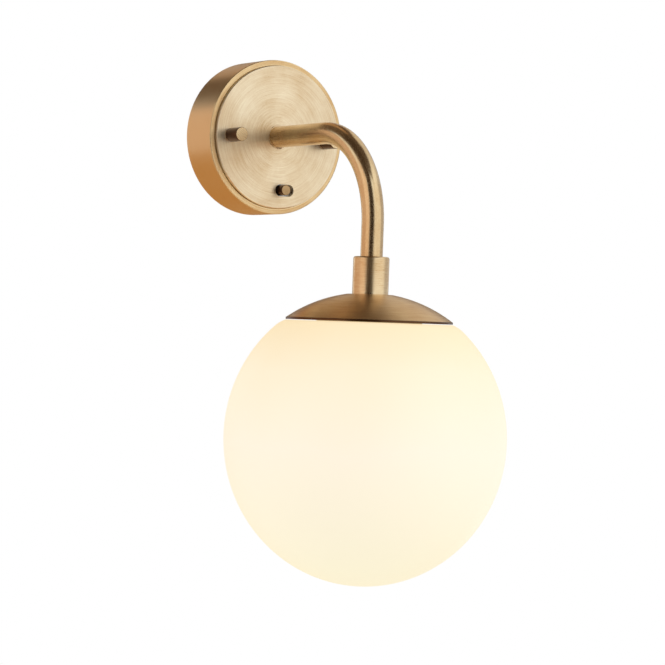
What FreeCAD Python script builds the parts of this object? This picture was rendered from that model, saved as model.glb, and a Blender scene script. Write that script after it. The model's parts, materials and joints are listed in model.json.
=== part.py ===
# Globe wall sconce: round canopy with a switch, bent tube arm, domed cap and a screw-in opal globe.
# Millimetres. The origin is the centre of the canopy on the wall plane.
# +X is to the right for someone who faces the light, -Y comes out of the wall, +Z is up.
import FreeCAD
import Part
import math
import os

Vec = FreeCAD.Vector
X_AXIS = Vec(1, 0, 0)
Z_AXIS = Vec(0, 0, 1)
OUT_OF_WALL = Vec(0, -1, 0)

os.makedirs("parts", exist_ok=True)

# ---- driving dimensions ---------------------------------------------------------------------

# clearances
running_gap = 0.05       # radial gap of a screw in its thread, drawn as plain cylinders
loose_gap = 0.3          # between pieces on different bodies that do not bear on each other
hole_gap = 0.2           # radial gap of a bolt in a clearance hole

# canopy
canopy_radius = 43.4
canopy_depth = 25.8
canopy_wall = 2.0
canopy_edge_round = 0.6
ledge_radius = 37.5      # inner edge of the ledge that the face plate seats on
ledge_thick = 2.0
plate_radius = 40.2
plate_thick = 3.0
plate_proud = 2.0        # how far the plate stands out of the ring
plate_edge_chamfer = 0.4
rebate_gap = 0.3         # the dark line round the plate

# wall bracket and its studs
strap_thick = 1.5
strap_length = 75.0
strap_height = 18.0
stud_line_z = -1.0
stud_spacing = 62.0
stud_radius = 2.0
stud_end_gap = 0.6
lock_nut_flats = 7.0
lock_nut_thick = 3.2
wall_slot_spacing = 40.0
wall_slot_length = 9.0
wall_slot_radius = 2.25
cable_hole_radius = 4.5
cable_hole_x = -10.0
tab_width = 20.0
tab_height = 18.0

# thumb nuts
thumb_nut_radius = 3.9
thumb_nut_length = 11.7
thumb_nut_chamfer = 0.25
thumb_nut_hole_depth = 9.0
nut_washer_thick = 0.3
nut_washer_radius = 3.6

# terminal block and earth point
block_width = 27.0
block_height = 12.0
block_depth = 12.0
block_bottom_z = 11.0
block_pole_pitch = 9.0
block_screw_radius = 1.6
block_screw_sink = 1.0
block_screw_offset = 3.3 # each screw of a pole lies this far from the block's middle
block_entry_depth = 3.0
block_fixing_radius = 1.5
pole_hole_radius = 1.3
earth_screw_x = 21.0
earth_screw_z = 3.5
earth_screw_radius = 2.0
earth_screw_head_radius = 3.4
earth_screw_head_height = 2.4
earth_washer_radius = 4.2
earth_washer_thick = 0.8

# switch
slot_centre_x = 5.2
slot_centre_z = -29.8
slot_length = 12.1
slot_height = 6.8
knob_radius = 3.0
knob_proud = 5.0
knob_edge_round = 0.35
knob_travel = 4.0
knob_back_gap = 0.5
stem_width = 3.0
stem_height = 2.6
switch_frame_thick = 0.8
switch_ear_depth = 6.0
switch_width = 16.4
switch_height = 8.2
switch_depth = 6.4
switch_wall = 0.9
switch_base_thick = 1.4
carriage_thick = 2.2
carriage_gap = 0.15
bridge_thick = 0.4
bridge_height = 3.0
bridge_end_margin = 0.3
near_contact_offset = -2.0
far_contact_offset = 4.0
contact_width = 0.8
contact_height = 2.4
contact_tail = 5.0

# arm
arm_reach = 125.8        # wall to the axis of the arm's lower end
bend_radius = 50.0
tube_radius = 5.95
tube_bore_radius = 4.95
collar_radius = 9.6
collar_length = 20.0
collar_edge_round = 1.2
collar_socket_depth = 8.0
collar_nipple_gap = 1.0  # from the head nipple's top to the arm tube's end
collar_top_z = -67.6
nipple_radius = 4.9
nipple_bore_radius = 3.5
nipple_in_tube = 12.0
arm_nut_flats = 14.0
arm_nut_thick = 4.0
arm_washer_radius = 8.5
arm_washer_thick = 1.0
nipple_past_nut = 1.8
bush_radius = 6.2
bush_flange_thick = 1.0
bush_sleeve_length = 4.0
bush_bore_radius = 3.0
earth_tag_thick = 0.8
earth_tag_radius = 7.5
earth_tag_reach = 15.0
earth_tag_width = 5.0

# cap and gallery
cap_radius = 44.3
cap_dome_radius = 75.0
cap_flat_radius = 12.0
cap_thick = 0.9
cap_lip = 1.0
head_washer_radius = 8.0
head_washer_thick = 0.8
head_nut_flats = 14.0
head_nut_thick = 2.7
gallery_radius = 24.4
gallery_wall = 1.5
gallery_top_thick = 1.2
gallery_skirt_gap = 2.3  # from the skirt's lower edge to the globe's shoulder

# globe
globe_radius = 75.0
globe_half_height = 78.0
globe_centre_below_rim = 62.0
glass_thick = 2.5
shoulder_radius = 44.3   # the glass meets the cap's rim here
shoulder_start_below_rim = 3.9
shoulder_bulge = 0.35
neck_radius = 22.5
neck_top_gap = 1.0       # from the neck's top to the gallery's roof
neck_root_round = 1.5
seal_thick = 2.0
seal_width = 4.0

# lampholder and lamp
holder_radius = 12.5
holder_length = 34.0
holder_wall = 2.8
holder_top_thick = 4.0
holder_edge_round = 2.0
holder_insert_depth = 11.0
holder_insert_thick = 4.0
holder_terminal_height = 3.6
holder_terminal_width = 3.2
holder_terminal_depth = 5.0
holder_terminal_centre = 2.45
screw_shell_thick = 0.35
screw_shell_length = 17.0
lamp_base_radius = 6.95
lamp_base_length = 16.0
lamp_base_gap = 0.1
tongue_width = 3.0
tongue_thick = 0.5
lamp_contact_radius = 2.4
lamp_contact_height = 1.4
lamp_collar_radius = 14.0
lamp_collar_length = 24.0
lamp_collar_rim = 6.0    # straight part of the case next to the bulb
lamp_bulb_radius = 17.5
lamp_bulb_length = 60.0
lamp_bulb_widest = 20.0  # below the case
lamp_bulge_share = 0.72  # how full the bulb is half way down to its widest place
lamp_taper_share = 0.66  # and half way from there to the tip
lamp_tip_radius = 3.0
lamp_bulb_wall = 1.2

# wires
wire_radius = 1.1
wire_offset = 1.7        # the two arm wires lie this far each side of the arm's axis
wire_lane_y = -7.5       # depth at which wires run behind the face plate
wire_bend = 4.5
terminal_wire_bend = 3.2
feed_wire_bend = 18.0
feed_wire_turn_z = -7.75 # the feed wire leaves the block's side for the switch here
earth_wire_bend = 5.0
earth_wire_step = 6.0

# ---- places worked out from the dimensions ----------------------------------------------------

plate_front_y = -(canopy_depth + plate_proud)
plate_back_y = plate_front_y + plate_thick
ledge_back_y = plate_back_y + ledge_thick
strap_front_y = -strap_thick
collar_bottom_z = collar_top_z - collar_length
dome_centre_z = collar_bottom_z - math.sqrt(cap_dome_radius ** 2 - cap_flat_radius ** 2)
cap_edge_z = dome_centre_z + math.sqrt(cap_dome_radius ** 2 - cap_radius ** 2)
rim_z = cap_edge_z - cap_lip
globe_centre_z = rim_z - globe_centre_below_rim
shoulder_z = rim_z - loose_gap
head_washer_top_z = collar_bottom_z - cap_thick
head_nut_top_z = head_washer_top_z - head_washer_thick
gallery_top_z = head_nut_top_z - head_nut_thick
gallery_inner_radius = gallery_radius - gallery_wall
holder_top_z = gallery_top_z - gallery_top_thick
neck_top_z = holder_top_z - neck_top_gap
earth_tag_back_y = plate_back_y + earth_tag_thick
arm_washer_back_y = earth_tag_back_y + arm_washer_thick
arm_nut_back_y = arm_washer_back_y + arm_nut_thick
nipple_back_y = arm_nut_back_y + nipple_past_nut
knob_rest_x = slot_centre_x - knob_travel / 2
block_front_y = strap_front_y - block_depth
block_fixing_x = -wire_offset + block_pole_pitch / 2
block_middle_z = block_bottom_z + block_height / 2


# ---- helpers -----------------------------------------------------------------------------------

def save(name, *solids):
    """Write one node: a single solid, or several like pieces side by side."""
    shape = solids[0] if len(solids) == 1 else Part.makeCompound(list(solids))
    for solid in shape.Solids:
        if not solid.isValid():
            raise ValueError(name + " is not a valid solid")
    shape.exportStep("parts/" + name + ".step")
    print(name, len(shape.Solids), "solid(s), volume", round(shape.Volume, 1))


def rod(radius, start, direction, length):
    return Part.makeCylinder(radius, length, start, direction)


def tube(outer, inner, start, direction, length):
    return rod(outer, start, direction, length).cut(rod(inner, start, direction, length))


def box(low, high):
    size = high - low
    return Part.makeBox(size.x, size.y, size.z, low)


def centred_box(centre, size):
    return box(centre - size / 2, centre + size / 2)


def hex_prism(flats, start, direction, length):
    corner = flats / math.sqrt(3)
    spin = FreeCAD.Rotation(Z_AXIS, direction)
    corners = []
    for side in range(7):
        angle = math.radians(60 * side)
        flat_point = Vec(corner * math.cos(angle), corner * math.sin(angle), 0)
        corners.append(start + spin.multVec(flat_point))
    return Part.Face(Part.makePolygon(corners)).extrude(direction * length)


def hex_nut(flats, bore, start, direction, length):
    """A hexagon nut with its corners turned off at both faces."""
    blank = hex_prism(flats, start, direction, length)
    corner = flats / math.sqrt(3)
    drop = (corner - flats / 2) / 2
    cone_radius = corner + 0.5 * flats / 2
    cone_height = cone_radius - flats / 2 + drop
    low = Part.makeCone(flats / 2 - drop, cone_radius, cone_height, start, direction)
    middle_start = start + direction * cone_height
    if 2 * cone_height >= length:
        half = length / 2
        half_radius = flats / 2 - drop + half
        low = Part.makeCone(flats / 2 - drop, half_radius, half, start, direction)
        high = Part.makeCone(flats / 2 - drop, half_radius, half, start + direction * length, -direction)
        turned = low.fuse(high)
    else:
        high = Part.makeCone(flats / 2 - drop, cone_radius, cone_height, start + direction * length, -direction)
        middle = rod(cone_radius, middle_start, direction, length - 2 * cone_height)
        turned = low.fuse(middle).fuse(high)
    return blank.common(turned).cut(rod(bore, start, direction, length))


def stadium(centre, length, height, depth):
    """A slot with round ends, long way along X, that runs from centre into the wall."""
    end_radius = height / 2
    half = length / 2 - end_radius
    middle = box(centre + Vec(-half, 0, -end_radius), centre + Vec(half, depth, end_radius))
    left = rod(end_radius, centre + Vec(-half, 0, 0), -OUT_OF_WALL, depth)
    right = rod(end_radius, centre + Vec(half, 0, 0), -OUT_OF_WALL, depth)
    return middle.fuse(left).fuse(right).removeSplitter()


def line(first, second):
    return Part.LineSegment(first, second).toShape()


def arc(first, middle, last):
    return Part.Arc(first, middle, last).toShape()


def turned(edges, centre):
    """Revolve a closed profile, drawn with radius along X and height along Z, about a vertical axis."""
    face = Part.Face(Part.Wire(edges))
    solid = face.revolve(Vec(0, 0, 0), Z_AXIS, 360)
    solid.translate(Vec(centre.x, centre.y, 0))
    return solid


def closed_profile(points):
    """Straight edges through (radius, height) points, back to the first."""
    corners = [Vec(radius, 0, height) for radius, height in points]
    return [line(a, b) for a, b in zip(corners, corners[1:] + corners[:1])]


def rounded_path(points, radii):
    """Straight runs joined by tangent arcs; one radius for each inner point."""
    edges = []
    run_start = points[0]
    for index, radius in enumerate(radii, start=1):
        corner = points[index]
        back = (points[index - 1] - corner).normalize()
        ahead = (points[index + 1] - corner).normalize()
        half_angle = back.getAngle(ahead) / 2
        setback = radius / math.tan(half_angle)
        first = corner + back * setback
        last = corner + ahead * setback
        inward = (back + ahead).normalize()
        middle = corner + inward * (radius / math.sin(half_angle) - radius)
        edges.append(line(run_start, first))
        edges.append(arc(first, middle, last))
        run_start = last
    edges.append(line(run_start, points[-1]))
    return Part.Wire(edges)


def sweep(path, radius):
    """A round bar along a path."""
    start = path.Edges[0].Vertexes[0].Point
    direction = (path.Edges[0].Vertexes[1].Point - start).normalize()
    ring = Part.Wire(Part.makeCircle(radius, start, direction))
    return path.makePipeShell([ring], True, False)


def wire_solid(name, points, radii):
    path = rounded_path(points, radii)
    solid = sweep(path, wire_radius)
    expected = math.pi * wire_radius ** 2 * path.Length
    print(name, "length", round(path.Length, 1), "volume over section times length",
          round(solid.Volume / expected, 4))
    save(name, solid)


# ---- canopy ------------------------------------------------------------------------------------

def make_canopy_ring():
    body = rod(canopy_radius, Vec(0, 0, 0), OUT_OF_WALL, canopy_depth)
    front_edges = [e for e in body.Edges if abs(e.CenterOfMass.y + canopy_depth) < 0.01 and e.Closed]
    body = body.makeFillet(canopy_edge_round, front_edges)
    inside = rod(canopy_radius - canopy_wall, Vec(0, 0, 0), OUT_OF_WALL, -ledge_back_y)
    ledge_hole = rod(ledge_radius, Vec(0, 0, 0), OUT_OF_WALL, canopy_depth)
    rebate = rod(plate_radius + rebate_gap, Vec(0, plate_back_y, 0), OUT_OF_WALL, plate_thick)
    save("canopy_ring", body.cut(inside).cut(ledge_hole).cut(rebate))


def make_face_plate():
    plate = rod(plate_radius, Vec(0, plate_back_y, 0), OUT_OF_WALL, plate_thick)
    front_edges = [e for e in plate.Edges if abs(e.CenterOfMass.y - plate_front_y) < 0.01 and e.Closed]
    plate = plate.makeChamfer(plate_edge_chamfer, front_edges)
    plate = plate.cut(rod(nipple_radius + hole_gap, Vec(0, plate_back_y, 0), OUT_OF_WALL, plate_thick))
    for side in (-1, 1):
        hole_start = Vec(side * stud_spacing / 2, plate_back_y, stud_line_z)
        plate = plate.cut(rod(stud_radius + hole_gap, hole_start, OUT_OF_WALL, plate_thick))
    slot_start = Vec(slot_centre_x, plate_front_y, slot_centre_z)
    plate = plate.cut(stadium(slot_start, slot_length, slot_height, plate_thick))
    save("face_plate", plate)


def make_wall_bracket():
    strap_low = Vec(-strap_length / 2, strap_front_y, stud_line_z - strap_height / 2)
    strap_high = Vec(strap_length / 2, 0, stud_line_z + strap_height / 2)
    tab_low = Vec(-wire_offset - tab_width / 2, strap_front_y, stud_line_z)
    tab_high = Vec(-wire_offset + tab_width / 2, 0, strap_high.z + tab_height)
    bracket = box(strap_low, strap_high).fuse(box(tab_low, tab_high)).removeSplitter()
    outer = rod(canopy_radius - canopy_wall - loose_gap, Vec(0, 0, 0), OUT_OF_WALL, strap_thick)
    bracket = bracket.common(outer)
    for side in (-1, 1):
        stud_start = Vec(side * stud_spacing / 2, 0, stud_line_z)
        bracket = bracket.cut(rod(stud_radius, stud_start, OUT_OF_WALL, strap_thick))
        slot_start = Vec(side * wall_slot_spacing / 2, strap_front_y, stud_line_z)
        bracket = bracket.cut(stadium(slot_start, wall_slot_length, 2 * wall_slot_radius, strap_thick))
    cable_hole = rod(cable_hole_radius, Vec(cable_hole_x, 0, stud_line_z), OUT_OF_WALL, strap_thick)
    earth_hole = rod(earth_screw_radius, Vec(earth_screw_x, 0, earth_screw_z), OUT_OF_WALL, strap_thick)
    fixing_start = Vec(block_fixing_x, 0, block_middle_z)
    fixing_hole = rod(block_fixing_radius, fixing_start, OUT_OF_WALL, strap_thick)
    save("wall_bracket", bracket.cut(cable_hole).cut(earth_hole).cut(fixing_hole))


def make_studs_and_thumb_nuts():
    nut_back_y = plate_front_y - nut_washer_thick
    hole_end_y = nut_back_y - thumb_nut_hole_depth
    stud_length = -(hole_end_y + stud_end_gap)
    studs = []
    lock_nuts = []
    for side, name in ((-1, "left"), (1, "right")):
        on_axis = Vec(side * stud_spacing / 2, 0, stud_line_z)
        studs.append(rod(stud_radius, on_axis, OUT_OF_WALL, stud_length))
        lock_start = on_axis + Vec(0, strap_front_y, 0)
        lock_nuts.append(hex_nut(lock_nut_flats, stud_radius, lock_start, OUT_OF_WALL, lock_nut_thick))
        washer_start = on_axis + Vec(0, plate_front_y, 0)
        washer = tube(nut_washer_radius, stud_radius + running_gap, washer_start, OUT_OF_WALL, nut_washer_thick)
        save("nut_washer_" + name, washer)
        nut_start = on_axis + Vec(0, nut_back_y, 0)
        nut = rod(thumb_nut_radius, nut_start, OUT_OF_WALL, thumb_nut_length)
        nut = nut.makeChamfer(thumb_nut_chamfer, [e for e in nut.Edges if e.Closed])
        nut = nut.cut(rod(stud_radius + running_gap, nut_start, OUT_OF_WALL, thumb_nut_hole_depth))
        save("thumb_nut_" + name, nut)
    save("bracket_studs", *studs)
    save("stud_lock_nuts", *lock_nuts)


# ---- terminals and earth -----------------------------------------------------------------------

def make_terminal_block():
    centre_x = -wire_offset
    low = Vec(centre_x - block_width / 2, block_front_y, block_bottom_z)
    high = Vec(centre_x + block_width / 2, strap_front_y, block_bottom_z + block_height)
    block = box(low, high)
    front_edges = [e for e in block.Edges if abs(e.CenterOfMass.y - low.y) < 0.01]
    block = block.makeFillet(block_screw_sink, front_edges)
    screws = []
    for pole in (-1, 0, 1):
        pole_x = centre_x + pole * block_pole_pitch
        for entry_z, direction in ((low.z, Z_AXIS), (high.z, -Z_AXIS)):
            entry = rod(pole_hole_radius, Vec(pole_x, wire_lane_y, entry_z), direction, block_entry_depth)
            block = block.cut(entry)
        for row in (-1, 1):
            screw_start = Vec(pole_x, low.y, block_middle_z + row * block_screw_offset)
            sink = rod(block_screw_radius, screw_start, -OUT_OF_WALL, 2 * block_screw_sink)
            block = block.cut(sink)
            screw = rod(block_screw_radius, screw_start + Vec(0, block_screw_sink, 0), -OUT_OF_WALL,
                        block_screw_sink)
            slot_size = Vec(2 * block_screw_radius, block_screw_sink, block_screw_radius / 2)
            slot_at = screw_start + Vec(0, block_screw_sink, 0)
            screws.append(screw.cut(centred_box(slot_at, slot_size)))
    fixing_start = Vec(block_fixing_x, block_front_y, block_middle_z)
    block = block.cut(rod(block_fixing_radius + hole_gap, fixing_start, -OUT_OF_WALL, block_depth))
    save("terminal_block", block)
    save("terminal_screws", *screws)


def make_block_fixing_screw():
    head_start = Vec(block_fixing_x, block_front_y, block_middle_z)
    head = rod(block_fixing_radius * 1.5, head_start, OUT_OF_WALL, block_fixing_radius)
    shank = rod(block_fixing_radius, head_start, -OUT_OF_WALL, -block_front_y)
    slot_size = Vec(block_fixing_radius * 3, block_fixing_radius, block_fixing_radius / 2)
    slot_at = head_start + OUT_OF_WALL * block_fixing_radius
    save("block_fixing_screw", head.fuse(shank).removeSplitter().cut(centred_box(slot_at, slot_size)))


def make_earth_point():
    start = Vec(earth_screw_x, strap_front_y, earth_screw_z)
    washer = tube(earth_washer_radius, earth_screw_radius, start, OUT_OF_WALL, earth_washer_thick)
    head_start = start + OUT_OF_WALL * earth_washer_thick
    head = rod(earth_screw_head_radius, head_start, OUT_OF_WALL, earth_screw_head_height)
    shank = rod(earth_screw_radius, head_start, -OUT_OF_WALL, strap_thick + earth_washer_thick)
    slot_size = Vec(2 * earth_screw_head_radius, earth_screw_head_height, earth_washer_thick)
    slot_at = head_start + OUT_OF_WALL * earth_screw_head_height
    save("earth_washer", washer)
    save("earth_screw", head.fuse(shank).removeSplitter().cut(centred_box(slot_at, slot_size)))


# ---- switch --------------------------------------------------------------------------------------

def make_switch():
    centre = Vec(slot_centre_x, plate_back_y, slot_centre_z)
    stem_slot = Vec(stem_width + knob_travel + 2 * carriage_gap, switch_frame_thick, stem_height + 2 * carriage_gap)

    frame_size = Vec(switch_width + 2 * switch_frame_thick, switch_frame_thick, switch_height)
    frame = centred_box(centre + Vec(0, switch_frame_thick / 2, 0), frame_size)
    for side in (-1, 1):
        ear_x = side * (switch_width + switch_frame_thick) / 2
        ear_y = (switch_frame_thick + switch_ear_depth) / 2
        ear_size = Vec(switch_frame_thick, switch_frame_thick + switch_ear_depth, switch_height)
        frame = frame.fuse(centred_box(centre + Vec(ear_x, ear_y, 0), ear_size))
    frame = frame.removeSplitter().cut(centred_box(centre + Vec(0, switch_frame_thick / 2, 0), stem_slot))
    save("switch_frame", frame)

    housing_front = centre + Vec(0, switch_frame_thick, 0)
    housing_size = Vec(switch_width, switch_depth, switch_height)
    housing = centred_box(housing_front + Vec(0, switch_depth / 2, 0), housing_size)
    cavity_size = housing_size - Vec(2 * switch_wall, switch_wall, 2 * switch_wall)
    cavity = centred_box(housing_front + Vec(0, (switch_depth + switch_wall) / 2, 0), cavity_size)
    front_hole = Vec(stem_slot.x, switch_wall, stem_slot.z)
    housing = housing.cut(cavity).cut(centred_box(housing_front + Vec(0, switch_wall / 2, 0), front_hole))
    save("switch_housing", housing)

    base_front = housing_front + Vec(0, switch_depth, 0)
    base_size = Vec(switch_width, switch_base_thick, switch_height)
    base = centred_box(base_front + Vec(0, switch_base_thick / 2, 0), base_size)
    carriage_front = housing_front + Vec(-knob_travel / 2, switch_wall + carriage_gap, 0)
    bridge_front_y = carriage_front.y + carriage_thick
    contact_front_y = bridge_front_y + bridge_thick + carriage_gap
    contact_back_y = base_front.y + switch_base_thick + contact_tail
    contacts = []
    for offset in (near_contact_offset, far_contact_offset):
        contact_x = slot_centre_x + offset
        low = Vec(contact_x - contact_width / 2, contact_front_y, slot_centre_z - contact_height / 2)
        high = Vec(contact_x + contact_width / 2, contact_back_y, slot_centre_z + contact_height / 2)
        contacts.append(box(low, high))
        base = base.cut(contacts[-1])
    save("switch_base", base)
    save("switch_contacts", *contacts)

    carriage_width = cavity_size.x - knob_travel - 2 * carriage_gap
    carriage_size = Vec(carriage_width, carriage_thick, cavity_size.z - 2 * carriage_gap)
    carriage = centred_box(carriage_front + Vec(0, carriage_thick / 2, 0), carriage_size)
    knob_back_y = plate_back_y - knob_back_gap
    stem_low = Vec(knob_rest_x - stem_width / 2, knob_back_y, slot_centre_z - stem_height / 2)
    stem_high = Vec(knob_rest_x + stem_width / 2, carriage_front.y, slot_centre_z + stem_height / 2)
    save("switch_carriage", carriage.fuse(box(stem_low, stem_high)).removeSplitter())

    bridge_size = Vec(carriage_width - 2 * bridge_end_margin, bridge_thick, bridge_height)
    bridge_centre = Vec(knob_rest_x, bridge_front_y + bridge_thick / 2, slot_centre_z)
    save("switch_bridge", centred_box(bridge_centre, bridge_size))

    knob_length = knob_back_y - plate_front_y + knob_proud
    knob = rod(knob_radius, Vec(knob_rest_x, knob_back_y, slot_centre_z), OUT_OF_WALL, knob_length)
    front_y = knob_back_y - knob_length
    knob_edges = [e for e in knob.Edges if abs(e.CenterOfMass.y - front_y) < 0.01 and e.Closed]
    save("switch_knob", knob.makeFillet(knob_edge_round, knob_edges))
    return contact_back_y


# ---- arm -----------------------------------------------------------------------------------------

def arm_line(offset_x, start_y, end_z):
    """The arm's centre line, moved sideways, from a depth in the canopy to a height in the head."""
    points = [Vec(offset_x, start_y, 0), Vec(offset_x, -arm_reach, 0), Vec(offset_x, -arm_reach, end_z)]
    return rounded_path(points, [bend_radius])


def make_arm():
    tube_end_z = collar_top_z - collar_socket_depth
    path = arm_line(0, plate_front_y, tube_end_z)
    save("arm_tube", sweep(path, tube_radius).cut(sweep(path, tube_bore_radius)))

    collar_start = Vec(0, -arm_reach, collar_bottom_z)
    collar = rod(collar_radius, collar_start, Z_AXIS, collar_length)
    top_edges = [e for e in collar.Edges if abs(e.CenterOfMass.z - collar_top_z) < 0.01 and e.Closed]
    collar = collar.makeFillet(collar_edge_round, top_edges)
    socket = rod(tube_radius, Vec(0, -arm_reach, tube_end_z), Z_AXIS, collar_socket_depth)
    bore = rod(nipple_radius + running_gap, collar_start, Z_AXIS, collar_length)
    save("arm_collar", collar.cut(socket).cut(bore))

    nipple_front_y = plate_front_y - nipple_in_tube
    nipple_length = nipple_back_y - nipple_front_y
    nipple_start = Vec(0, nipple_front_y, 0)
    save("arm_nipple", tube(nipple_radius, nipple_bore_radius, nipple_start, -OUT_OF_WALL, nipple_length))

    tag_start = Vec(0, plate_back_y, 0)
    tag = rod(earth_tag_radius, tag_start, -OUT_OF_WALL, earth_tag_thick)
    tail_low = Vec(0, plate_back_y, -earth_tag_width / 2)
    tail_high = Vec(earth_tag_reach, earth_tag_back_y, earth_tag_width / 2)
    tag = tag.fuse(box(tail_low, tail_high)).removeSplitter()
    save("earth_tag", tag.cut(rod(nipple_radius + hole_gap, tag_start, -OUT_OF_WALL, earth_tag_thick)))

    washer_start = Vec(0, earth_tag_back_y, 0)
    washer = tube(arm_washer_radius, nipple_radius + hole_gap, washer_start, -OUT_OF_WALL, arm_washer_thick)
    save("arm_washer", washer)
    nut_start = Vec(0, arm_washer_back_y, 0)
    save("arm_nut", hex_nut(arm_nut_flats, nipple_radius + running_gap, nut_start, -OUT_OF_WALL, arm_nut_thick))

    flange_start = Vec(0, nipple_back_y, 0)
    flange = rod(bush_radius, flange_start, -OUT_OF_WALL, bush_flange_thick)
    sleeve = rod(nipple_bore_radius - running_gap, flange_start, OUT_OF_WALL, bush_sleeve_length)
    bush_bore_start = Vec(0, nipple_back_y - bush_sleeve_length, 0)
    bush_length = bush_sleeve_length + bush_flange_thick
    bush_bore = rod(bush_bore_radius, bush_bore_start, -OUT_OF_WALL, bush_length)
    save("wire_bush", flange.fuse(sleeve).removeSplitter().cut(bush_bore))


# ---- head: cap, gallery and lampholder -------------------------------------------------------------

head_axis = Vec(0, -arm_reach, 0)


def at_head(height):
    return Vec(0, -arm_reach, height)


def dome_height(radius, thickness):
    """Height of the dome, or of its inside at a thickness, at a distance from the axis."""
    return dome_centre_z + math.sqrt((cap_dome_radius - thickness) ** 2 - radius ** 2)


def make_cap():
    hole = nipple_radius + hole_gap
    inner_lip_radius = cap_radius - cap_thick
    inner_flat_z = collar_bottom_z - cap_thick
    inner_flat_radius = math.sqrt((cap_dome_radius - cap_thick) ** 2 - (inner_flat_z - dome_centre_z) ** 2)
    outer_middle_radius = (cap_flat_radius + cap_radius) / 2
    inner_middle_radius = (inner_flat_radius + inner_lip_radius) / 2
    outer_flat = Vec(cap_flat_radius, 0, collar_bottom_z)
    outer_middle = Vec(outer_middle_radius, 0, dome_height(outer_middle_radius, 0))
    outer_edge = Vec(cap_radius, 0, cap_edge_z)
    inner_edge = Vec(inner_lip_radius, 0, dome_height(inner_lip_radius, cap_thick))
    inner_middle = Vec(inner_middle_radius, 0, dome_height(inner_middle_radius, cap_thick))
    inner_flat = Vec(inner_flat_radius, 0, inner_flat_z)
    edges = [
        line(Vec(hole, 0, collar_bottom_z), outer_flat),
        arc(outer_flat, outer_middle, outer_edge),
        line(outer_edge, Vec(cap_radius, 0, rim_z)),
        line(Vec(cap_radius, 0, rim_z), Vec(inner_lip_radius, 0, rim_z)),
        line(Vec(inner_lip_radius, 0, rim_z), inner_edge),
        arc(inner_edge, inner_middle, inner_flat),
        line(inner_flat, Vec(hole, 0, inner_flat_z)),
        line(Vec(hole, 0, inner_flat_z), Vec(hole, 0, collar_bottom_z)),
    ]
    save("cap", turned(edges, head_axis))


def make_head_fixings():
    nipple_top_z = collar_top_z - collar_socket_depth - collar_nipple_gap
    nipple_bottom_z = holder_top_z - holder_top_thick
    nipple_length = nipple_top_z - nipple_bottom_z
    save("head_nipple", tube(nipple_radius, nipple_bore_radius, at_head(nipple_bottom_z), Z_AXIS, nipple_length))
    washer_bottom = at_head(head_nut_top_z)
    save("head_washer", tube(head_washer_radius, nipple_radius + hole_gap, washer_bottom, Z_AXIS, head_washer_thick))
    nut_bottom = at_head(gallery_top_z)
    save("head_nut", hex_nut(head_nut_flats, nipple_radius + running_gap, nut_bottom, Z_AXIS, head_nut_thick))


def make_gallery():
    skirt_bottom_z = shoulder_z + gallery_skirt_gap
    points = [
        (nipple_radius + hole_gap, gallery_top_z),
        (gallery_radius, gallery_top_z),
        (gallery_radius, skirt_bottom_z),
        (gallery_inner_radius, skirt_bottom_z),
        (gallery_inner_radius, holder_top_z),
        (nipple_radius + hole_gap, holder_top_z),
    ]
    save("gallery", turned(closed_profile(points), head_axis))


def make_lampholder():
    bottom_z = holder_top_z - holder_length
    insert_top_z = holder_top_z - holder_insert_depth
    insert_bottom_z = insert_top_z - holder_insert_thick
    inner_radius = holder_radius - holder_wall
    body = rod(holder_radius, at_head(bottom_z), Z_AXIS, holder_length)
    body = body.makeFillet(holder_edge_round, [e for e in body.Edges if e.Closed])
    entry = rod(nipple_radius + running_gap, at_head(holder_top_z - holder_top_thick), Z_AXIS, holder_top_thick)
    chamber = rod(inner_radius, at_head(bottom_z), Z_AXIS, holder_length - holder_top_thick)
    save("lampholder_body", body.cut(entry).cut(chamber))

    insert = rod(inner_radius, at_head(insert_bottom_z), Z_AXIS, holder_insert_thick)
    save("lampholder_insert", insert)
    terminals = []
    for side in (-1, 1):
        centre = at_head(insert_top_z + holder_terminal_height / 2) + X_AXIS * (side * holder_terminal_centre)
        terminals.append(centred_box(centre, Vec(holder_terminal_width, holder_terminal_depth,
                                                 holder_terminal_height)))
    save("lampholder_terminals", *terminals)

    shell_inner = lamp_base_radius + lamp_base_gap
    shell = tube(shell_inner + screw_shell_thick, shell_inner, at_head(insert_bottom_z - screw_shell_length),
                 Z_AXIS, screw_shell_length)
    flange = tube(inner_radius, shell_inner, at_head(insert_bottom_z - screw_shell_thick), Z_AXIS,
                  screw_shell_thick)
    save("lampholder_shell", shell.fuse(flange).removeSplitter())

    tongue_half = Vec(tongue_width / 2, tongue_width / 2, 0)
    tongue_low = at_head(insert_bottom_z - tongue_thick) - tongue_half
    tongue_high = at_head(insert_bottom_z) + tongue_half
    save("lampholder_tongue", box(tongue_low, tongue_high))
    return insert_top_z + holder_terminal_height, insert_bottom_z - tongue_thick


def make_lamp(contact_top_z):
    """A candle-shaped LED lamp with a 14 mm screw base."""
    base_top_z = contact_top_z - lamp_contact_height
    base_bottom_z = base_top_z - lamp_base_length
    contact = rod(lamp_contact_radius, at_head(base_top_z), Z_AXIS, lamp_contact_height)
    base = rod(lamp_base_radius, at_head(base_bottom_z), Z_AXIS, lamp_base_length)
    save("lamp_base", base.fuse(contact).removeSplitter())

    collar_bottom = base_bottom_z - lamp_collar_length
    collar_points = [
        (0, base_bottom_z),
        (lamp_base_radius, base_bottom_z),
        (lamp_collar_radius, collar_bottom + lamp_collar_rim),
        (lamp_collar_radius, collar_bottom),
        (0, collar_bottom),
    ]
    save("lamp_driver_case", turned(closed_profile(collar_points), head_axis))

    outside = bulb_solid(collar_bottom, 0)
    save("lamp_bulb", outside.cut(bulb_solid(collar_bottom, lamp_bulb_wall)))


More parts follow.
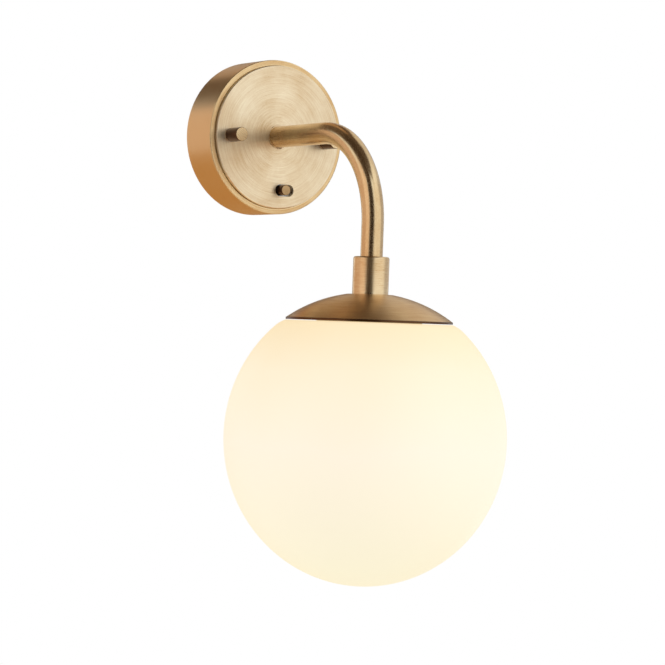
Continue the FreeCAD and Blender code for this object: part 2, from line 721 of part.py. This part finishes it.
def bulb_solid(top_z, inset):
    """The candle shape under the driver case, or its inside at an inset; the top is flat."""
    widest_z = top_z - lamp_bulb_widest
    tip_z = top_z - lamp_bulb_length + inset
    neck = lamp_collar_radius - inset
    wide = lamp_bulb_radius - inset
    tip = lamp_tip_radius
    bulge_radius = neck + lamp_bulge_share * (wide - neck)
    taper_radius = tip + lamp_taper_share * (wide - tip)
    slant = math.sin(math.pi / 4)
    top_edge = Vec(neck, 0, top_z)
    widest = Vec(wide, 0, widest_z)
    tip_side = Vec(tip, 0, tip_z + tip)
    edges = [
        line(Vec(0, 0, top_z), top_edge),
        arc(top_edge, Vec(bulge_radius, 0, (top_z + widest_z) / 2), widest),
        arc(widest, Vec(taper_radius, 0, (widest_z + tip_z + tip) / 2), tip_side),
        arc(tip_side, Vec(tip * slant, 0, tip_z + tip * (1 - slant)), Vec(0, 0, tip_z)),
        line(Vec(0, 0, tip_z), Vec(0, 0, top_z)),
    ]
    return turned(edges, head_axis)


# ---- globe ---------------------------------------------------------------------------------------

def ellipse_radius(height, inset):
    """Radius of the globe's outside, or of its inside at an inset, at a height."""
    share = (height - globe_centre_z) / (globe_half_height - inset)
    return (globe_radius - inset) * math.sqrt(1 - share ** 2)


def ellipse_edge(inset, start_height):
    """The globe's outline from the bottom of its axis up to a height, as one elliptical arc."""
    tall = globe_half_height - inset
    wide = globe_radius - inset
    centre = Vec(0, 0, globe_centre_z)
    top = centre + Vec(0, 0, tall)
    far_side = centre - Vec(wide, 0, 0)
    # an ellipse starts at its long axis, so that end is kept off the arc that is drawn
    ellipse = Part.Ellipse(top, far_side, centre) if tall >= wide else Part.Ellipse(far_side, top, centre)
    start = centre - Vec(0, 0, tall)
    end = Vec(ellipse_radius(start_height, inset), 0, start_height)
    low, high = sorted((ellipse.parameter(start), ellipse.parameter(end)))
    # drawn as an exact spline, which keeps its direction when the STEP file is read again
    outline = Part.ArcOfEllipse(ellipse, low, high).toBSpline()
    return outline.toShape(), start, end


def shoulder_arc(first, last):
    """A slightly bulged edge that carries the outline up to the shoulder."""
    chord = last - first
    outward = Vec(-chord.z, 0, chord.x).normalize()
    if outward.z < 0:
        outward = outward * -1
    return arc(first, (first + last) / 2 + outward * shoulder_bulge, last)


def make_globe():
    start_height = rim_z - shoulder_start_below_rim
    inner_neck = neck_radius - glass_thick
    inner_flat_z = shoulder_z - glass_thick
    outer_ellipse, outer_bottom, outer_top = ellipse_edge(0, start_height)
    inner_ellipse, inner_bottom, inner_top = ellipse_edge(glass_thick, start_height - glass_thick / 2)
    outer_shoulder = Vec(shoulder_radius, 0, shoulder_z)
    inner_shoulder = Vec(shoulder_radius - glass_thick, 0, inner_flat_z)
    root_start = Vec(neck_radius + neck_root_round, 0, shoulder_z)
    root_end = Vec(neck_radius, 0, shoulder_z + neck_root_round)
    root_inset = neck_root_round * (1 - math.sin(math.pi / 4))
    root_middle = Vec(neck_radius + root_inset, 0, shoulder_z + root_inset)
    edges = [
        outer_ellipse,
        shoulder_arc(outer_top, outer_shoulder),
        line(outer_shoulder, root_start),
        arc(root_start, root_middle, root_end),
        line(root_end, Vec(neck_radius, 0, neck_top_z)),
        line(Vec(neck_radius, 0, neck_top_z), Vec(inner_neck, 0, neck_top_z)),
        line(Vec(inner_neck, 0, neck_top_z), Vec(inner_neck, 0, inner_flat_z)),
        line(Vec(inner_neck, 0, inner_flat_z), inner_shoulder),
        shoulder_arc(inner_shoulder, inner_top),
        inner_ellipse,
        line(inner_bottom, outer_bottom),
    ]
    ordered = Part.__sortEdges__(edges)
    save("globe", turned(ordered, head_axis))

    seal_inner = neck_radius + neck_root_round + running_gap
    seal = tube(seal_inner + seal_width, seal_inner, at_head(shoulder_z), Z_AXIS, seal_thick)
    save("globe_seal", seal)


# ---- wires ---------------------------------------------------------------------------------------

def make_wires(switch_terminal_y, holder_terminal_top_z):
    near_x = slot_centre_x + near_contact_offset
    far_x = slot_centre_x + far_contact_offset
    live_pole_x = -wire_offset + block_pole_pitch
    live_route = [
        Vec(wire_offset, -arm_reach, holder_terminal_top_z),
        Vec(wire_offset, -arm_reach, 0),
        Vec(wire_offset, wire_lane_y, 0),
        Vec(near_x, wire_lane_y, slot_centre_z),
        Vec(near_x, switch_terminal_y, slot_centre_z),
    ]
    wire_solid("arm_live_wire", live_route, [bend_radius, wire_bend, terminal_wire_bend])
    neutral_route = [
        Vec(-wire_offset, -arm_reach, holder_terminal_top_z),
        Vec(-wire_offset, -arm_reach, 0),
        Vec(-wire_offset, wire_lane_y, 0),
        Vec(-wire_offset, wire_lane_y, block_bottom_z + block_entry_depth),
    ]
    wire_solid("arm_neutral_wire", neutral_route, [bend_radius, wire_bend])
    feed_route = [
        Vec(live_pole_x, wire_lane_y, block_bottom_z + block_entry_depth),
        Vec(live_pole_x, wire_lane_y, feed_wire_turn_z),
        Vec(far_x, wire_lane_y, slot_centre_z),
        Vec(far_x, switch_terminal_y, slot_centre_z),
    ]
    wire_solid("switch_feed_wire", feed_route, [feed_wire_bend, terminal_wire_bend])
    screw_face_y = strap_front_y - earth_washer_thick - earth_screw_head_height
    tag_x = earth_tag_reach - earth_tag_width / 2
    earth_route = [
        Vec(tag_x, earth_tag_back_y, 0),
        Vec(tag_x, earth_tag_back_y + earth_wire_step, 0),
        Vec(earth_screw_x, screw_face_y - earth_wire_step, earth_screw_z),
        Vec(earth_screw_x, screw_face_y, earth_screw_z),
    ]
    wire_solid("earth_wire", earth_route, [earth_wire_bend, earth_wire_bend])


make_canopy_ring()
make_face_plate()
make_wall_bracket()
make_studs_and_thumb_nuts()
make_terminal_block()
make_block_fixing_screw()
make_earth_point()
switch_terminal_end_y = make_switch()
make_arm()
make_cap()
make_head_fixings()
make_gallery()
holder_terminals_z, lamp_contact_z = make_lampholder()
make_lamp(lamp_contact_z)
make_globe()
make_wires(switch_terminal_end_y, holder_terminals_z)
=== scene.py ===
import json
import math

import bpy
from mathutils import Matrix, Vector


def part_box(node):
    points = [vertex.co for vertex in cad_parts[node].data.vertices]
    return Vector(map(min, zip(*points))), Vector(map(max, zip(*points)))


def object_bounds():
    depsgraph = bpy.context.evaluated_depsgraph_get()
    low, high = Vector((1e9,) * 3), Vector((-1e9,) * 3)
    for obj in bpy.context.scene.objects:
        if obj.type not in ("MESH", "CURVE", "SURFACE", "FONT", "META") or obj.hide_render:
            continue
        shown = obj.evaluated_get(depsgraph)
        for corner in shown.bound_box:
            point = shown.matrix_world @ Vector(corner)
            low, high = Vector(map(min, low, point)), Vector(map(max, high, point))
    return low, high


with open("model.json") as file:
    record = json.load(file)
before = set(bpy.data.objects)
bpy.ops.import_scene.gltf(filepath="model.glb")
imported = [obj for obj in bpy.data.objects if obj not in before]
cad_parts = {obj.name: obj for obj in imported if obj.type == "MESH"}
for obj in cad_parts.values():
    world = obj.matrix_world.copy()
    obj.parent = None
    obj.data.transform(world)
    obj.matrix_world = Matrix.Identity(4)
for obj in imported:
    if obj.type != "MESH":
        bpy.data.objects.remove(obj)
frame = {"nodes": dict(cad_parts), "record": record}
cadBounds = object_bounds()
mm = 0.001


def mid(low, high):
    return (low + high) / 2


# the frame's own places, in metres
globeLow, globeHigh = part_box("globe")
canopyCentre = Vector((0, 0, 0))
headCentre = mid(*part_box("cap"))
headAxis = Vector((headCentre.x, headCentre.y, 0))     # the axis of the arm's lower end
knobCentre = mid(*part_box("switch_knob"))
nutCentre = {side: mid(*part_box("thumb_nut_" + side)) for side in ("left", "right")}

# camera first: the photograph's view, worked out from the ellipses of the canopy and the globe
view = {
    "azimuth": -33.08,       # degrees round the light, below 0 to the left
    "pitch": 0.26,           # degrees above level
    "roll": 2.02,            # degrees anticlockwise, seen from behind the camera
    "distance": 1.4437,      # metres to the point looked at
    "target": Vector((0.059, 0, -0.1091)),
    "focalPixels": 2465.6,   # focal length, in pixels of the photograph
    "framePixels": 665,      # the photograph's width
    "sensor": 36,            # mm
}


def makeCamera():
    turn = math.radians(view["azimuth"])
    lift = math.radians(view["pitch"])
    roll = math.radians(view["roll"])
    back = Vector((math.sin(turn) * math.cos(lift), -math.cos(turn) * math.cos(lift), math.sin(lift)))
    right = Vector((math.cos(turn), math.sin(turn), 0))
    up = back.cross(right)
    rolledRight = right * math.cos(roll) + up * math.sin(roll)
    rolledUp = up * math.cos(roll) - right * math.sin(roll)
    cameraData = bpy.data.cameras.new("photo_camera")
    cameraData.sensor_width = view["sensor"]
    cameraData.lens = view["focalPixels"] / view["framePixels"] * view["sensor"]
    camera = bpy.data.objects.new("photo_camera", cameraData)
    bpy.context.scene.collection.objects.link(camera)
    turnMatrix = Matrix((rolledRight, rolledUp, back)).transposed().to_4x4()
    camera.matrix_world = Matrix.Translation(view["target"] + back * view["distance"]) @ turnMatrix
    bpy.context.scene.camera = camera
    return back


towardsCamera = makeCamera()
print("camera placed")


def linear(hexColour):
    # sRGB hex to linear RGBA
    channels = [int(hexColour[i:i + 2], 16) / 255 for i in (1, 3, 5)]
    return tuple(c / 12.92 if c <= 0.04045 else ((c + 0.055) / 1.055) ** 2.4 for c in channels) + (1,)


def setInputs(tree, node, inputs):
    # each input gets a value, or a link from a socket or from a node's first output
    for name, value in inputs.items():
        if isinstance(value, bpy.types.Node):
            value = value.outputs[0]
        if isinstance(value, bpy.types.NodeSocket):
            tree.links.new(value, node.inputs[name])
        else:
            node.inputs[name].default_value = value


def addNode(tree, kind, inputs=None, stops=None, **settings):
    # a shader node with its settings, inputs and, in a colour ramp, its (position, hex) stops
    node = tree.nodes.new("ShaderNode" + kind)
    for name, value in settings.items():
        setattr(node, name, value)
    setInputs(tree, node, inputs or {})
    if stops:
        elements = node.color_ramp.elements
        while len(elements) < len(stops):
            elements.new(0.5)
        for element, (position, colour) in zip(elements, stops):
            element.position = position
            element.color = linear(colour)
    return node


def newMaterial(name):
    material = bpy.data.materials.new(name)
    material.use_nodes = True
    tree = material.node_tree
    tree.nodes.clear()
    shader = addNode(tree, "BsdfPrincipled")
    addNode(tree, "OutputMaterial", {"Surface": shader})
    return material, tree, shader


def turnedCoordinates(tree, axis, centre):
    # distance from the axis, height along it and the direction round it
    place = addNode(tree, "TexCoord").outputs["Object"]
    moved = addNode(tree, "VectorMath", {0: place, 1: centre}, operation="SUBTRACT")
    parts = addNode(tree, "SeparateXYZ", {0: moved}).outputs
    across, height = ("Z", "Y") if axis == "Y" else ("Y", "Z")
    flat = addNode(tree, "CombineXYZ", {"X": parts["X"], "Y": parts[across]})
    radius = addNode(tree, "VectorMath", {0: flat}, operation="LENGTH").outputs["Value"]
    return radius, parts[height], addNode(tree, "VectorMath", {0: flat}, operation="NORMALIZE")


def tubeCoordinates(tree, bendStart, bendTop):
    # places sideways, across the tube in the plane of its bend and along it, and its direction
    place = addNode(tree, "TexCoord").outputs["Object"]
    parts = addNode(tree, "SeparateXYZ", {0: place}).outputs
    beforeStart = addNode(tree, "Math", {0: bendStart, 1: parts["Y"]}, operation="SUBTRACT")
    pastStart = addNode(tree, "Math", {0: beforeStart, 1: 0.0}, operation="MAXIMUM")
    belowTop = addNode(tree, "Math", {0: parts["Z"], 1: bendTop}, operation="SUBTRACT")
    aboveTop = addNode(tree, "Math", {0: belowTop, 1: 0.0}, operation="MAXIMUM")
    fromBend = addNode(tree, "CombineXYZ", {"Y": aboveTop, "Z": pastStart})
    across = addNode(tree, "VectorMath", {0: fromBend}, operation="LENGTH").outputs["Value"]
    along = addNode(tree, "Math", {0: parts["Y"], 1: parts["Z"]}, operation="SUBTRACT")
    return parts["X"], across, along, addNode(tree, "VectorMath", {0: fromBend}, operation="NORMALIZE")


# Brass, brushed and toned, under satin lacquer: warm reflections drawn out across the brush lines,
# fine darker lines where the toner stays in the scratches, paler bands on worn edges that are also
# painted highlight, and bands of painted shade round fittings and on the sides of the nuts and knob.
brass = {
    # the toner colour is also what the bands of painted shade darken towards
    "tonerAndPaintedShade": "#5E4028",       # dark brown that stays where it isn't rubbed off
    "lineSpacing": 0.35,      # mm between brush lines; real ones are about 0.1, drawn coarser to show
    "lineLength": 30,         # times the spacing, along the tube
    "streakCount": 2.2,       # how many times a line fades and comes back round a turned piece
    "lineContrast": 1.1,
    "lineHeight": 0.004,      # mm
    "lineBump": 0.5,
    "cloudSize": 16.0,        # mm, slow changes of tone left by hand toning
    "cloudContrast": 0.9,
    "grainSize": 0.5,         # mm, speckle in the lacquer
    "grainContrast": 0.35,
    "grainBump": 0.3,         # of a brush line's height
    "rougherDark": 0.05,      # added to the roughness where toner stays
    "smootherPale": 0.04,     # taken off it where the brass is rubbed
    "acrossBrush": 0.25,      # turns the spread of a highlight to lie across the brush lines
    "lacquer": 0.2,
    "lacquerRough": 0.25,
    "bendRadius": 50.0,       # mm, of the arm's bend, which its brush lines follow
}


def finishBrass(tree, shader, lines, look, radius=None):
    # colour and roughness from the brush lines, slow clouds of tone and a fine speckle
    place = addNode(tree, "TexCoord").outputs["Object"]
    clouds = addNode(tree, "TexNoise", {
        "Vector": place, "Scale": 1 / (brass["cloudSize"] * mm), "Detail": 3.0})
    grain = addNode(tree, "TexNoise", {
        "Vector": place, "Scale": 1 / (brass["grainSize"] * mm), "Detail": 2.0})
    lineStrength = look.get("lines", 1.0)
    lineContrast = brass["lineContrast"] * lineStrength
    patterns = [(lines, lineContrast), (clouds, brass["cloudContrast"]), (grain, brass["grainContrast"])]
    # the middle of each pattern is 0.5, and that of the tone too
    tone = 0.5 - sum(contrast for pattern, contrast in patterns) / 2
    for pattern, contrast in patterns:
        tone = addNode(tree, "Math", {0: pattern, 1: contrast, 2: tone}, operation="MULTIPLY_ADD")
    # bands round the axis: paler ones on edges are rubbed brass and painted highlight, darker ones mostly
    # painted shade
    for bandRadius, halfWidth, change in look.get("wearAndPaintedLightBands", []):
        limits = {0: radius, 1: bandRadius * mm, 2: halfWidth * mm}
        wearAndPaintedLightBand = addNode(tree, "Math", limits, operation="COMPARE")
        tone = addNode(tree, "Math", {0: wearAndPaintedLightBand, 1: change, 2: tone}, operation="MULTIPLY_ADD")
    relief = addNode(tree, "Math", {0: grain, 1: brass["grainBump"], 2: lines}, operation="MULTIPLY_ADD")
    setInputs(tree, shader, {
        "Base Color": addNode(tree, "ValToRGB", {"Fac": tone}, [
            (0.0, brass["tonerAndPaintedShade"]), (0.15, look["low"]), (0.85, look["high"])]),
        "Roughness": addNode(tree, "MapRange", {
            "Value": tone, "From Min": 0.2, "From Max": 0.8,
            "To Min": look["rough"] + brass["rougherDark"], "To Max": look["rough"] - brass["smootherPale"]}),
        "Normal": addNode(tree, "Bump", {
            "Height": relief, "Strength": brass["lineBump"] * lineStrength,
            "Distance": brass["lineHeight"] * mm}),
        "Metallic": 1.0,
        "Anisotropic": look["spread"],
        "Anisotropic Rotation": brass["acrossBrush"],
        "Coat Weight": brass["lacquer"],
        "Coat Roughness": brass["lacquerRough"]})


def brassTurned(name, axis, centre, look):
    # brushed in circles round an axis, as on a lathe
    material, tree, shader = newMaterial(name)
    radius, height, around = turnedCoordinates(tree, axis, centre)
    lineScale = 1 / (brass["lineSpacing"] * mm)
    streaks = addNode(tree, "VectorMath", {0: around, "Scale": brass["streakCount"]}, operation="SCALE")
    upLines = addNode(tree, "Math", {0: height, 1: lineScale}, operation="MULTIPLY")
    upwards = addNode(tree, "CombineXYZ", {"Z": upLines})
    vector = addNode(tree, "VectorMath", {0: streaks, 1: upwards}, operation="ADD")
    outLines = addNode(tree, "Math", {0: radius, 1: lineScale}, operation="MULTIPLY")
    lines = addNode(tree, "TexNoise", {
        "Vector": vector, "W": outLines, "Scale": 1.0, "Detail": 2.0, "Roughness": 0.6},
        noise_dimensions="4D")
    finishBrass(tree, shader, lines, look, radius)
    setInputs(tree, shader, {"Tangent": addNode(tree, "Tangent", direction_type="RADIAL", axis=axis)})
    return material


def brassDrawn(name, look):
    # brushed along the bent tube
    material, tree, shader = newMaterial(name)
    bendRadius = brass["bendRadius"] * mm
    bendStart = headAxis.y + bendRadius
    sideways, across, along, direction = tubeCoordinates(tree, bendStart, -bendRadius)
    place = addNode(tree, "CombineXYZ", {"X": sideways, "Y": across, "Z": along})
    lineScale = 1 / (brass["lineSpacing"] * mm)
    scales = (lineScale, lineScale, lineScale / brass["lineLength"])
    vector = addNode(tree, "VectorMath", {0: place, 1: scales}, operation="MULTIPLY")
    lines = addNode(tree, "TexNoise", {"Vector": vector, "Scale": 1.0, "Detail": 2.0})
    finishBrass(tree, shader, lines, look)
    setInputs(tree, shader, {"Tangent": direction})
    return material


# for each brass piece: darker and lighter tone, roughness, spread across the brush lines, strength
# of the lines, and bands round its axis as (radius in mm, half width in mm, change of tone), which
# are paler where above 0 and darker, towards the toner colour, where below; the pale bands lie on
# rubbed edges and are painted highlight too, the dark ones are painted shade round fittings and on
# the sides of the nuts and knob, and a darker line along the cap's rim
brassLook = {
    "plate": {"low": "#DCBF94", "high": "#F6E6C6", "rough": 0.36, "spread": 0.6,
              # plate: paler band at the disc's rounded edge, rubbed brass and painted highlight; painted
              # shade round the arm's root
              "wearAndPaintedLightBands": [(40.0, 0.25, 0.5), (6.2, 0.6, -0.25)]},
    "ring": {"low": "#CFA46C", "high": "#EED2A0", "rough": 0.34, "spread": 0.4,
             # ring: paler bands on the front rounding and the rebate's lip, rubbed brass and painted
             # highlight
             "wearAndPaintedLightBands": [(43.15, 0.25, 0.6), (40.75, 0.2, 0.5)]},
    "tube": {"low": "#D0A874", "high": "#F6E2B6", "rough": 0.25, "spread": 0.1, "lines": 0.35},
    "collar": {"low": "#DDB986", "high": "#F8E6BE", "rough": 0.31, "spread": 0.3},
    "cap": {"low": "#D0A876", "high": "#EED2A2", "rough": 0.34, "spread": 0.4,
            # cap: a darker line along the rim, and painted shade round the collar's foot
            "wearAndPaintedLightBands": [(44.2, 0.2, -0.8), (10.4, 1.2, -0.4)]},
    "nut": {"low": "#D2B080", "high": "#F0DAB0", "rough": 0.26, "spread": 0.3, "lines": 0.5,
            # nut: painted shade round the outer edge and side of the barrel
            "wearAndPaintedLightBands": [(4.2, 0.5, -0.9)]},
    "knob": {"low": "#8E6E48", "high": "#C4A274", "rough": 0.26, "spread": 0.3, "lines": 0.5,
             # knob: painted shade round the outer edge and side of the barrel
             "wearAndPaintedLightBands": [(3.2, 0.5, -0.9)]},
}

brassMaterials = {
    "face_plate": brassTurned("brushed_antique_brass_plate", "Y", canopyCentre, brassLook["plate"]),
    "canopy_ring": brassTurned("brushed_antique_brass_ring", "Y", canopyCentre, brassLook["ring"]),
    "arm_tube": brassDrawn("brushed_antique_brass_tube", brassLook["tube"]),
    "arm_collar": brassTurned("turned_antique_brass_collar", "Z", headAxis, brassLook["collar"]),
    "cap": brassTurned("spun_antique_brass_cap", "Z", headAxis, brassLook["cap"]),
    "switch_knob": brassTurned("turned_antique_brass_knob", "Y", knobCentre, brassLook["knob"]),
}
for side, centre in nutCentre.items():
    brassMaterials["thumb_nut_" + side] = brassTurned(
        "turned_antique_brass_nut_" + side, "Y", centre, brassLook["nut"])
print("materials: brass")


# Opal glass, blown and acid matted, lit from inside: an even glow without a hot spot or reflections,
# creamy at the top near the brass and whiter lower down.
globeLook = {
    "colours": [(0.05, "#FFE4B0"), (0.22, "#FFEECB"), (0.5, "#FFF3DC"), (0.95, "#FFF8D6")],  # top to bottom
    "glow": 0.72,
    "unlit": "#A39E93",
    "rough": 0.55,
    "ior": 1.5,
    "waveSize": 45.0,       # mm, uneven thickness of the blown wall
    "waveShare": 0.10,      # of the globe's height, how far it shifts the colours
    "mattingSize": 0.6,     # mm
    "mattingHeight": 0.01,  # mm
    "mattingBump": 0.15,
}


def makeOpalGlass():
    material, tree, shader = newMaterial("matt_opal_glass")
    place = addNode(tree, "TexCoord").outputs["Object"]
    parts = addNode(tree, "SeparateXYZ", {0: place}).outputs
    down = addNode(tree, "MapRange", {
        "Value": parts["Z"], "From Min": globeHigh.z, "From Max": globeLow.z, "To Min": 0.0, "To Max": 1.0})
    waves = addNode(tree, "TexNoise", {
        "Vector": place, "Scale": 1 / (globeLook["waveSize"] * mm), "Detail": 2.0})
    waveShare = globeLook["waveShare"]
    shift = addNode(tree, "Math", {0: waves, 1: waveShare, 2: -waveShare / 2}, operation="MULTIPLY_ADD")
    shifted = addNode(tree, "Math", {0: down, 1: shift}, operation="ADD")
    matting = addNode(tree, "TexNoise", {
        "Vector": place, "Scale": 1 / (globeLook["mattingSize"] * mm), "Detail": 2.0})
    setInputs(tree, shader, {
        "Emission Color": addNode(tree, "ValToRGB", {"Fac": shifted}, globeLook["colours"]),
        "Emission Strength": globeLook["glow"],
        "Base Color": linear(globeLook["unlit"]),
        "Roughness": globeLook["rough"],
        "IOR": globeLook["ior"],
        "Normal": addNode(tree, "Bump", {
            "Height": matting, "Strength": globeLook["mattingBump"],
            "Distance": globeLook["mattingHeight"] * mm})})
    return material


# an even moulded, plated, stamped or extruded finish with a faint grain
plain = {
    "darker": 3,          # how much darker the grain is, as a multiple of its change of roughness
    "bump": 0.2,
    "bumpHeight": 0.02,   # mm
}


def makePlain(name, colour, rough, metallic, grainSize, change, glow=None):
    # grainSize is in mm, and the roughness goes up and down by change over the grain
    material, tree, shader = newMaterial(name)
    place = addNode(tree, "TexCoord").outputs["Object"]
    grain = addNode(tree, "TexNoise", {"Vector": place, "Scale": 1 / (grainSize * mm), "Detail": 3.0})
    pale = linear(colour)
    dark = tuple(channel * (1 - change * plain["darker"]) for channel in pale[:3]) + (1,)
    setInputs(tree, shader, {
        "Base Color": addNode(tree, "Mix", {0: grain, 6: dark, 7: pale}, data_type="RGBA").outputs[2],
        "Roughness": addNode(tree, "MapRange", {
            "Value": grain, "From Min": 0.3, "From Max": 0.7,
            "To Min": rough - change, "To Max": rough + change}),
        "Metallic": metallic,
        "Normal": addNode(tree, "Bump", {
            "Height": grain, "Strength": plain["bump"], "Distance": plain["bumpHeight"] * mm})})
    if glow:
        setInputs(tree, shader, {"Emission Color": linear(glow), "Emission Strength": 1.0})
    return material


# by the record's slots: name, colour, roughness, metallic, grain in mm, change, glow
slotMaterials = {
    "opal_glass": makeOpalGlass(),
    # brass as machined: brighter and yellower than the toned pieces
    "plain_brass": makePlain("machined_brass", "#D8B468", 0.25, 1.0, 0.6, 0.06),
    # steel with bright zinc plate: cool grey, faint bloom
    "zinc_plated_steel": makePlain("zinc_plated_steel", "#B9BCBE", 0.35, 1.0, 1.5, 0.06),
    # nickel plate on the lamp's screw base: warm grey, almost a mirror
    "nickel_plated_brass": makePlain("nickel_plate", "#C9C5BC", 0.22, 1.0, 1.0, 0.06),
    # heat-resistant moulded plastic: slightly glossy white
    "white_thermoplastic": makePlain("moulded_white_thermoplastic", "#ECEBE6", 0.42, 0.0, 0.7, 0.02),
    # moulded nylon: softer than the other plastics, white or black
    "white_nylon": makePlain("moulded_white_nylon", "#EFEEE9", 0.5, 0.0, 0.7, 0.02),
    "black_nylon": makePlain("moulded_black_nylon", "#1B1B1B", 0.5, 0.0, 0.7, 0.05),
    # nylon sheet, stamped: milky and a little yellow
    "clear_nylon": makePlain("stamped_natural_nylon", "#D9D4C6", 0.5, 0.0, 0.7, 0.03),
    # phenolic board, stamped: dull brown
    "brown_phenolic": makePlain("stamped_phenolic_board", "#6E4A2A", 0.6, 0.0, 1.2, 0.05),
    # silicone rubber, moulded: dull warm white
    "silicone_rubber": makePlain("moulded_silicone", "#E2DFD6", 0.6, 0.0, 0.8, 0.02),
    # frosted plastic over the lamp's chips: glows evenly
    "frosted_diffuser": makePlain("frosted_lamp_diffuser", "#F7F3EA", 0.5, 0.0, 0.6, 0.01, "#FFF0D0"),
    # extruded insulation on the wires: plain satin colours
    "brown_insulation": makePlain("extruded_brown_insulation", "#5A3520", 0.45, 0.0, 0.5, 0.04),
    "blue_insulation": makePlain("extruded_blue_insulation", "#2A5DA8", 0.45, 0.0, 0.5, 0.04),
    "green_insulation": makePlain("extruded_green_insulation", "#3F8A3C", 0.45, 0.0, 0.5, 0.04),
}
print("materials: glass, plastics and plating")

for subpart in frame["record"]["subparts"]:
    node = frame["nodes"][subpart["node"]]
    material = brassMaterials.get(subpart["node"]) or slotMaterials[subpart["material_slot"]]
    node.data.materials.clear()
    node.data.materials.append(material)
    for polygon in node.data.polygons:
        polygon.material_index = 0
print("frame dressed")


# plain studio: white all round for camera and reflections, softer light for everything else
studio = {
    "ambient": 0.5,
    "floorDrop": 0.62,       # metres from the origin down to the floor
    "floorSize": 0.8,        # metres from its middle to its edge
    "floorColour": "#F2F2F2",
    "floorRough": 0.9,
    # softboxes: metres to the camera's right, towards the camera and up, width in metres, watts
    "softboxes": {
        "key_softbox": (1.1, 0.8, 0.7, 0.9, 9.0),
        "fill_softbox": (-1.2, 0.5, 0.3, 0.9, 4.0),
    },
    # cards that shape the reflections: degrees round from the camera, to its right where above 0,
    # degrees up, width and height in degrees, metres away, colour
    "cards": {
        "camera_flag": (-8, 0, 48, 104, 2.4, "#2A2018"),
        "right_card": (64, 0, 52, 90, 2.4, "#FFFFFF"),
        "left_card": (-54, 0, 38, 80, 2.4, "#F6DCCA"),
        "left_back_card": (-102, 0, 64, 56, 2.4, "#D8B9A4"),
        "left_high_card": (-60, 62, 80, 40, 2.3, "#44362A"),
        "left_back_high_card": (-135, 44, 44, 40, 2.4, "#665444"),
        "back_left_high_card": (-166, 48, 26, 44, 2.4, "#B4906C"),
        "back_high_card": (181, 60, 14, 50, 2.3, "#5A4838"),
        "back_right_high_card": (162, 48, 26, 44, 2.4, "#D8CCBC"),
        "right_back_high_card": (136, 46, 30, 36, 2.4, "#E0DCD8"),
        "right_back_card": (118, 0, 50, 70, 2.4, "#C4C2C4"),
        "back_card": (180, 4, 56, 40, 2.5, "#8A7F76"),
        "low_back_card": (-147, -20, 90, 34, 0.63, "#BE8E58"),
        "top_card": (0, 88, 64, 64, 2.4, "#54463A"),
        "low_card": (0, -88, 100, 100, 0.30, "#C08E60"),
    },
}


def makeWorld():
    world = bpy.data.worlds.new("studio")
    bpy.context.scene.world = world
    world.use_nodes = True
    tree = world.node_tree
    tree.nodes.clear()
    path = addNode(tree, "LightPath").outputs
    seen = addNode(tree, "Math", {0: path["Is Camera Ray"], 1: path["Is Glossy Ray"]}, operation="MAXIMUM")
    seen = addNode(tree, "Math", {0: seen, 1: path["Is Transmission Ray"]}, operation="MAXIMUM")
    strength = addNode(tree, "MapRange", {"Value": seen, "To Min": studio["ambient"], "To Max": 1.0})
    background = addNode(tree, "Background", {"Color": (1, 1, 1, 1), "Strength": strength})
    addNode(tree, "OutputWorld", {"Surface": background})


def link(name, data):
    made = bpy.data.objects.new(name, data)
    bpy.context.scene.collection.objects.link(made)
    return made


def addSoftbox(name, centre, toRight, toCamera, up, size, power):
    right = Vector((-towardsCamera.y, towardsCamera.x, 0)).normalized()
    place = centre + right * toRight + towardsCamera * toCamera + Vector((0, 0, up))
    lightData = bpy.data.lights.new(name, "AREA")
    lightData.shape = "SQUARE"
    lightData.size = size
    lightData.energy = power
    light = link(name, lightData)
    light.location = place
    light.rotation_mode = "QUATERNION"
    light.rotation_quaternion = (centre - place).to_track_quat("-Z", "Y")
    light.visible_glossy = False     # the cards are what the metal reflects


def flatCard(name, width, height):
    # width and height from the middle to the edge
    corners = [(-width, -height, 0), (width, -height, 0), (width, height, 0), (-width, height, 0)]
    mesh = bpy.data.meshes.new(name)
    mesh.from_pydata(corners, [], [(0, 1, 2, 3)])
    return link(name, mesh)


def addCard(name, centre, azimuth, elevation, wide, tall, distance, colour):
    # a card that only reflections see
    width = distance * math.tan(math.radians(wide / 2))
    height = distance * math.tan(math.radians(tall / 2))
    card = flatCard(name, width, height)
    turn = math.radians(view["azimuth"] + azimuth)
    lift = math.radians(elevation)
    outward = Vector((math.sin(turn) * math.cos(lift), -math.cos(turn) * math.cos(lift), math.sin(lift)))
    card.location = centre + outward * distance
    card.rotation_mode = "QUATERNION"
    card.rotation_quaternion = outward.to_track_quat("Z", "Y")
    material, tree, shader = newMaterial(name)
    setInputs(tree, shader, {
        "Base Color": (0, 0, 0, 1), "Specular IOR Level": 0.0,
        "Emission Color": linear(colour), "Emission Strength": 1.0})
    card.data.materials.append(material)
    card.visible_camera = False
    card.visible_shadow = False
    card.visible_diffuse = False
    card.visible_transmission = False


def addFloor(centre):
    floor = flatCard("floor", studio["floorSize"], studio["floorSize"])
    floor.location = (centre.x, centre.y, -studio["floorDrop"])
    material, tree, shader = newMaterial("pale_floor")
    setInputs(tree, shader, {
        "Base Color": linear(studio["floorColour"]), "Roughness": studio["floorRough"]})
    floor.data.materials.append(material)


def makeStudio():
    makeWorld()
    centre = mid(*cadBounds)
    for name, softbox in studio["softboxes"].items():
        addSoftbox(name, centre, *softbox)
    for name, card in studio["cards"].items():
        addCard(name, centre, *card)
    addFloor(centre)


makeStudio()
bpy.context.scene.view_settings.view_transform = "Standard"
print("studio lit")
